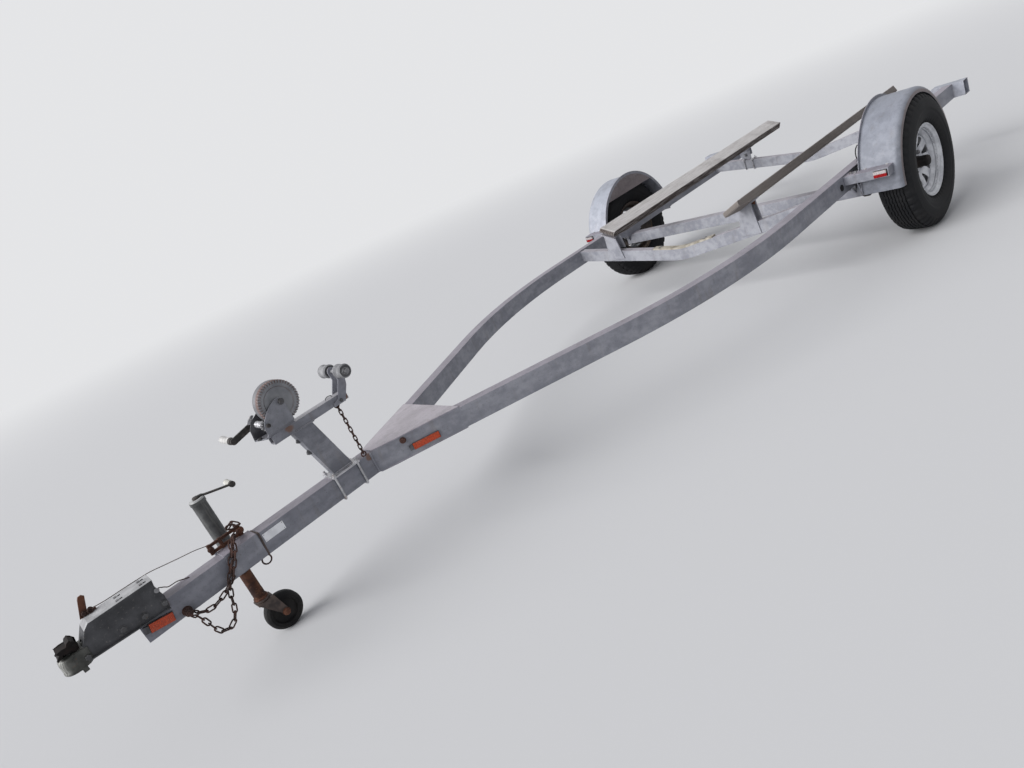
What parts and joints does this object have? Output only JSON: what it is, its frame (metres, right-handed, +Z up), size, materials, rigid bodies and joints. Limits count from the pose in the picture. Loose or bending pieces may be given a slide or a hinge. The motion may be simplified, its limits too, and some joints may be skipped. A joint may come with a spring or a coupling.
{
  "type": "boat trailer",
  "caption": "Single-axle boat trailer: bowed galvanised frame on a drawbar, tilted bunks, round mudguards, winch post with bow rollers, ball coupling and jockey wheel.",
  "frame": {"origin": "on the floor, under the middle of the whole trailer", "axes": "+X forward to the coupling, +Y to the trailer's left, +Z up"},
  "size_m": [5.1019, 1.952, 0.7952],
  "materials": {
    "bare_steel": "dull zinc plate",
    "black_plastic": "matt",
    "black_steel": "black, dirty",
    "bunk_wood": "weathered grey wood",
    "cable": "black sheath",
    "cast_coupling": "dull zinc plate",
    "galvanised": "hot-dip galvanised, matt and spangled",
    "lamp_lens": "clear red and white",
    "pad_rubber": "aged beige",
    "reflector": "orange, prismatic",
    "rim_paint": "silver paint",
    "roller_plastic": "grey, scuffed",
    "rubber": "solid black",
    "rusty_iron": "rusted",
    "rusty_steel": "rust over worn zinc",
    "tyre": "worn black tread"
  },
  "bodies": {
    "chassis": {"axle_beam": "galvanised", "coupling_handle": "black_plastic", "coupling_head": "cast_coupling", "coupling_housing": "galvanised", "drawbar": "galvanised", "front_cross_member": "galvanised", "front_reflector_plate": "galvanised", "handbrake_lever": "rusty_steel", "jockey_clamp": "galvanised", "jockey_crank": "galvanised", "jockey_tube": "galvanised", "junction_plate_bottom": "galvanised", "junction_plate_top": "galvanised", "keel_pad": "pad_rubber", "lamp_cable": "cable", "left_axle_mount": "galvanised", "left_back_plate": "rusty_iron", "left_bunk": "bunk_wood", "left_front_post": "galvanised", "left_guard_brackets": "galvanised", "left_light_bar": "galvanised", "left_marker_lamp": "lamp_lens", "left_mudguard": "galvanised", "left_rail": "galvanised", "left_rear_bracket": "galvanised", "left_swing_arm": "black_steel", "rear_cross_member": "galvanised", "right_axle_mount": "galvanised", "right_back_plate": "rusty_iron", "right_bunk": "bunk_wood", "right_front_post": "galvanised", "right_guard_brackets": "galvanised", "right_light_bar": "galvanised", "right_marker_lamp": "lamp_lens", "right_mudguard": "galvanised", "right_rail": "galvanised", "right_rear_bracket": "galvanised", "right_swing_arm": "black_steel", "roller_bracket": "galvanised", "side_reflectors": "reflector", "winch_beam": "galvanised", "winch_frame": "galvanised", "winch_post": "galvanised", "winch_saddle": "galvanised"},
    "left_wheel": {"left_tyre": "tyre", "left_rim": "rim_paint", "left_brake_drum": "rusty_iron"},
    "right_wheel": {"right_tyre": "tyre", "right_rim": "rim_paint", "right_brake_drum": "rusty_iron"},
    "jockey_leg": {"jockey_stem": "rusty_steel"},
    "jockey_swivel": {"jockey_fork": "bare_steel"},
    "jockey_roller": {"jockey_wheel": "rubber"},
    "winch_reel": {"winch_drum": "bare_steel", "winch_gear": "bare_steel"},
    "winch_handle": {"winch_pinion": "bare_steel", "winch_crank": "bare_steel"},
    "roller_set": {"bow_rollers": "roller_plastic"}
  },
  "joints": [
    {"name": "left_wheel_spin", "type": "hinge", "parent": "chassis", "child": "left_wheel", "pos_m": [-1.262, 0.892, 0.312], "axis": [0, 1, 0], "continuous": true},
    {"name": "right_wheel_spin", "type": "hinge", "parent": "chassis", "child": "right_wheel", "pos_m": [-1.262, -0.892, 0.312], "axis": [0, 1, 0], "continuous": true},
    {"name": "jockey_lift", "type": "slide", "parent": "chassis", "child": "jockey_leg", "axis": [0.0094, 0, 1], "range_m": [-0.14, 0.1]},
    {"name": "jockey_swivel_turn", "type": "hinge", "parent": "jockey_leg", "child": "jockey_swivel", "pos_m": [2.01657, -0.106, 0.14509], "axis": [0.0094, 0, 1], "continuous": true},
    {"name": "jockey_wheel_spin", "type": "hinge", "parent": "jockey_swivel", "child": "jockey_roller", "pos_m": [1.97683, -0.106, 0.066], "axis": [0, 1, 0], "continuous": true},
    {"name": "winch_reel_turn", "type": "hinge", "parent": "chassis", "child": "winch_reel", "pos_m": [1.68603, 0, 0.72523], "axis": [0, 1, 0], "continuous": true},
    {"name": "winch_handle_turn", "type": "hinge", "parent": "chassis", "child": "winch_handle", "pos_m": [1.75687, 0, 0.67827], "axis": [0, 1, 0], "continuous": true},
    {"name": "bow_rollers_spin", "type": "hinge", "parent": "chassis", "child": "roller_set", "pos_m": [1.45283, 0, 0.70543], "axis": [0, 1, 0], "continuous": true}
  ],
  "couplings": [
    {"joint": "winch_handle_turn", "follows": "winch_reel_turn", "ratio": -4}
  ]
}
